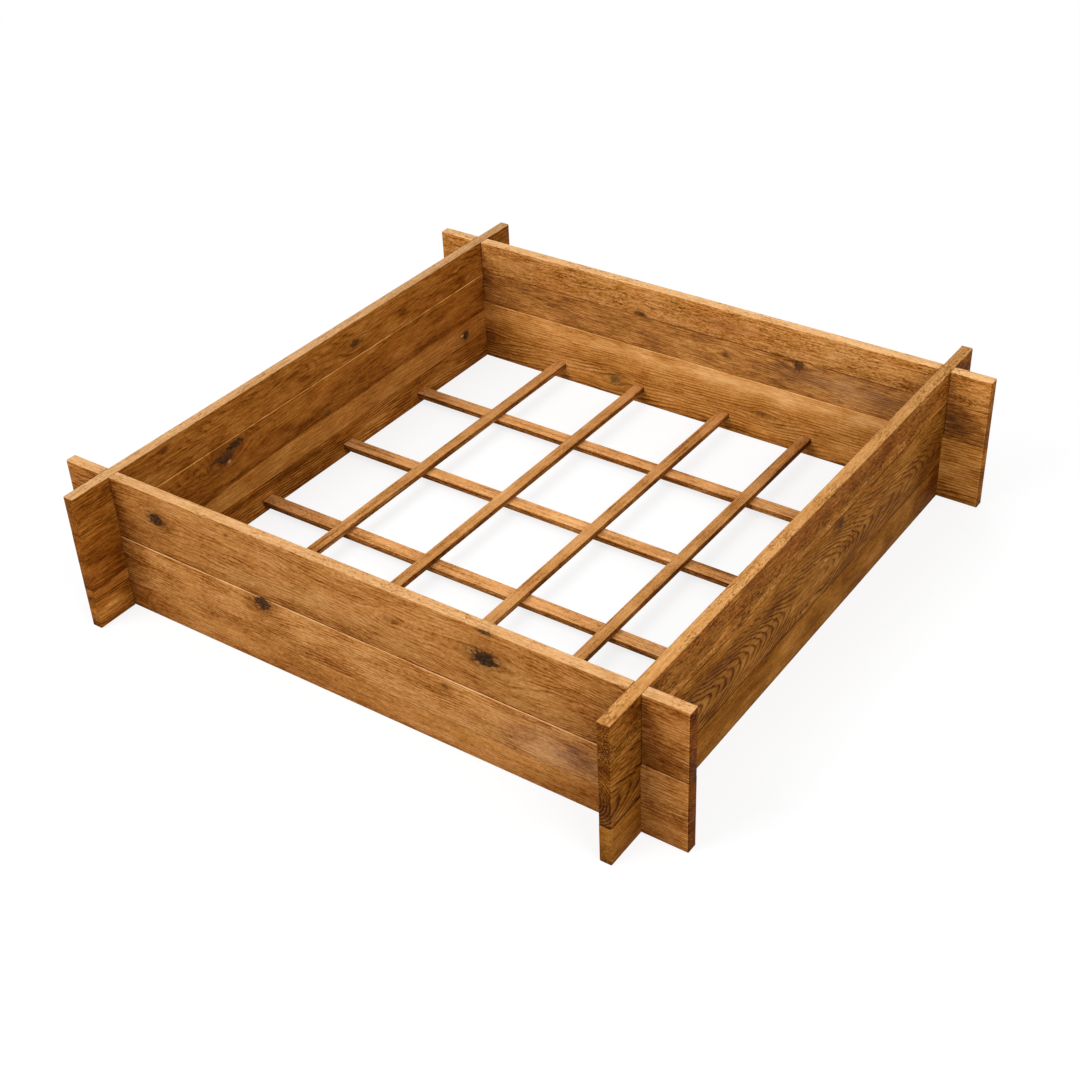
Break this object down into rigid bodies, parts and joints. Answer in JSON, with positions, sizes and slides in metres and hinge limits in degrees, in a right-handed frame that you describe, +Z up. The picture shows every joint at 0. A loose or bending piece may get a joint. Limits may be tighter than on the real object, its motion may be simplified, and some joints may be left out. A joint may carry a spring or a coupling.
{
  "type": "raised garden bed",
  "caption": "Open square raised garden bed of edge-glued wooden walls that interlock with cross-lap corners over a stacked grid of thin floor slats.",
  "frame": {"origin": "on the ground at the centre of the square footprint", "axes": "+X along the front wall to the right, +Y from the front wall to the back wall, +Z up"},
  "size_m": [1, 1, 0.217],
  "materials": {
    "front_wall_wood": "brown stained pine, satin",
    "right_wall_wood": "brown stained pine, satin",
    "back_wall_wood": "brown stained pine, satin",
    "left_wall_wood": "brown stained pine, satin",
    "floor_slat_wood": "lightly stained pine, satin"
  },
  "bodies": {
    "root": {"back_wall_bottom_board": "back_wall_wood", "back_wall_middle_board": "back_wall_wood", "back_wall_top_board": "back_wall_wood", "back_wall_top_stub_left": "back_wall_wood", "back_wall_top_stub_right": "back_wall_wood", "floor_slat_lower_1": "floor_slat_wood", "floor_slat_lower_2": "floor_slat_wood", "floor_slat_lower_3": "floor_slat_wood", "floor_slat_upper_1": "floor_slat_wood", "floor_slat_upper_2": "floor_slat_wood", "floor_slat_upper_3": "floor_slat_wood", "floor_slat_upper_4": "floor_slat_wood", "front_wall_bottom_board": "front_wall_wood", "front_wall_middle_board": "front_wall_wood", "front_wall_top_board": "front_wall_wood", "front_wall_top_stub_left": "front_wall_wood", "front_wall_top_stub_right": "front_wall_wood", "left_wall_bottom_board": "left_wall_wood", "left_wall_bottom_stub_back": "left_wall_wood", "left_wall_bottom_stub_front": "left_wall_wood", "left_wall_middle_board": "left_wall_wood", "left_wall_top_board": "left_wall_wood", "right_wall_bottom_board": "right_wall_wood", "right_wall_bottom_stub_back": "right_wall_wood", "right_wall_bottom_stub_front": "right_wall_wood", "right_wall_middle_board": "right_wall_wood", "right_wall_top_board": "right_wall_wood"}
  },
  "joints": []
}
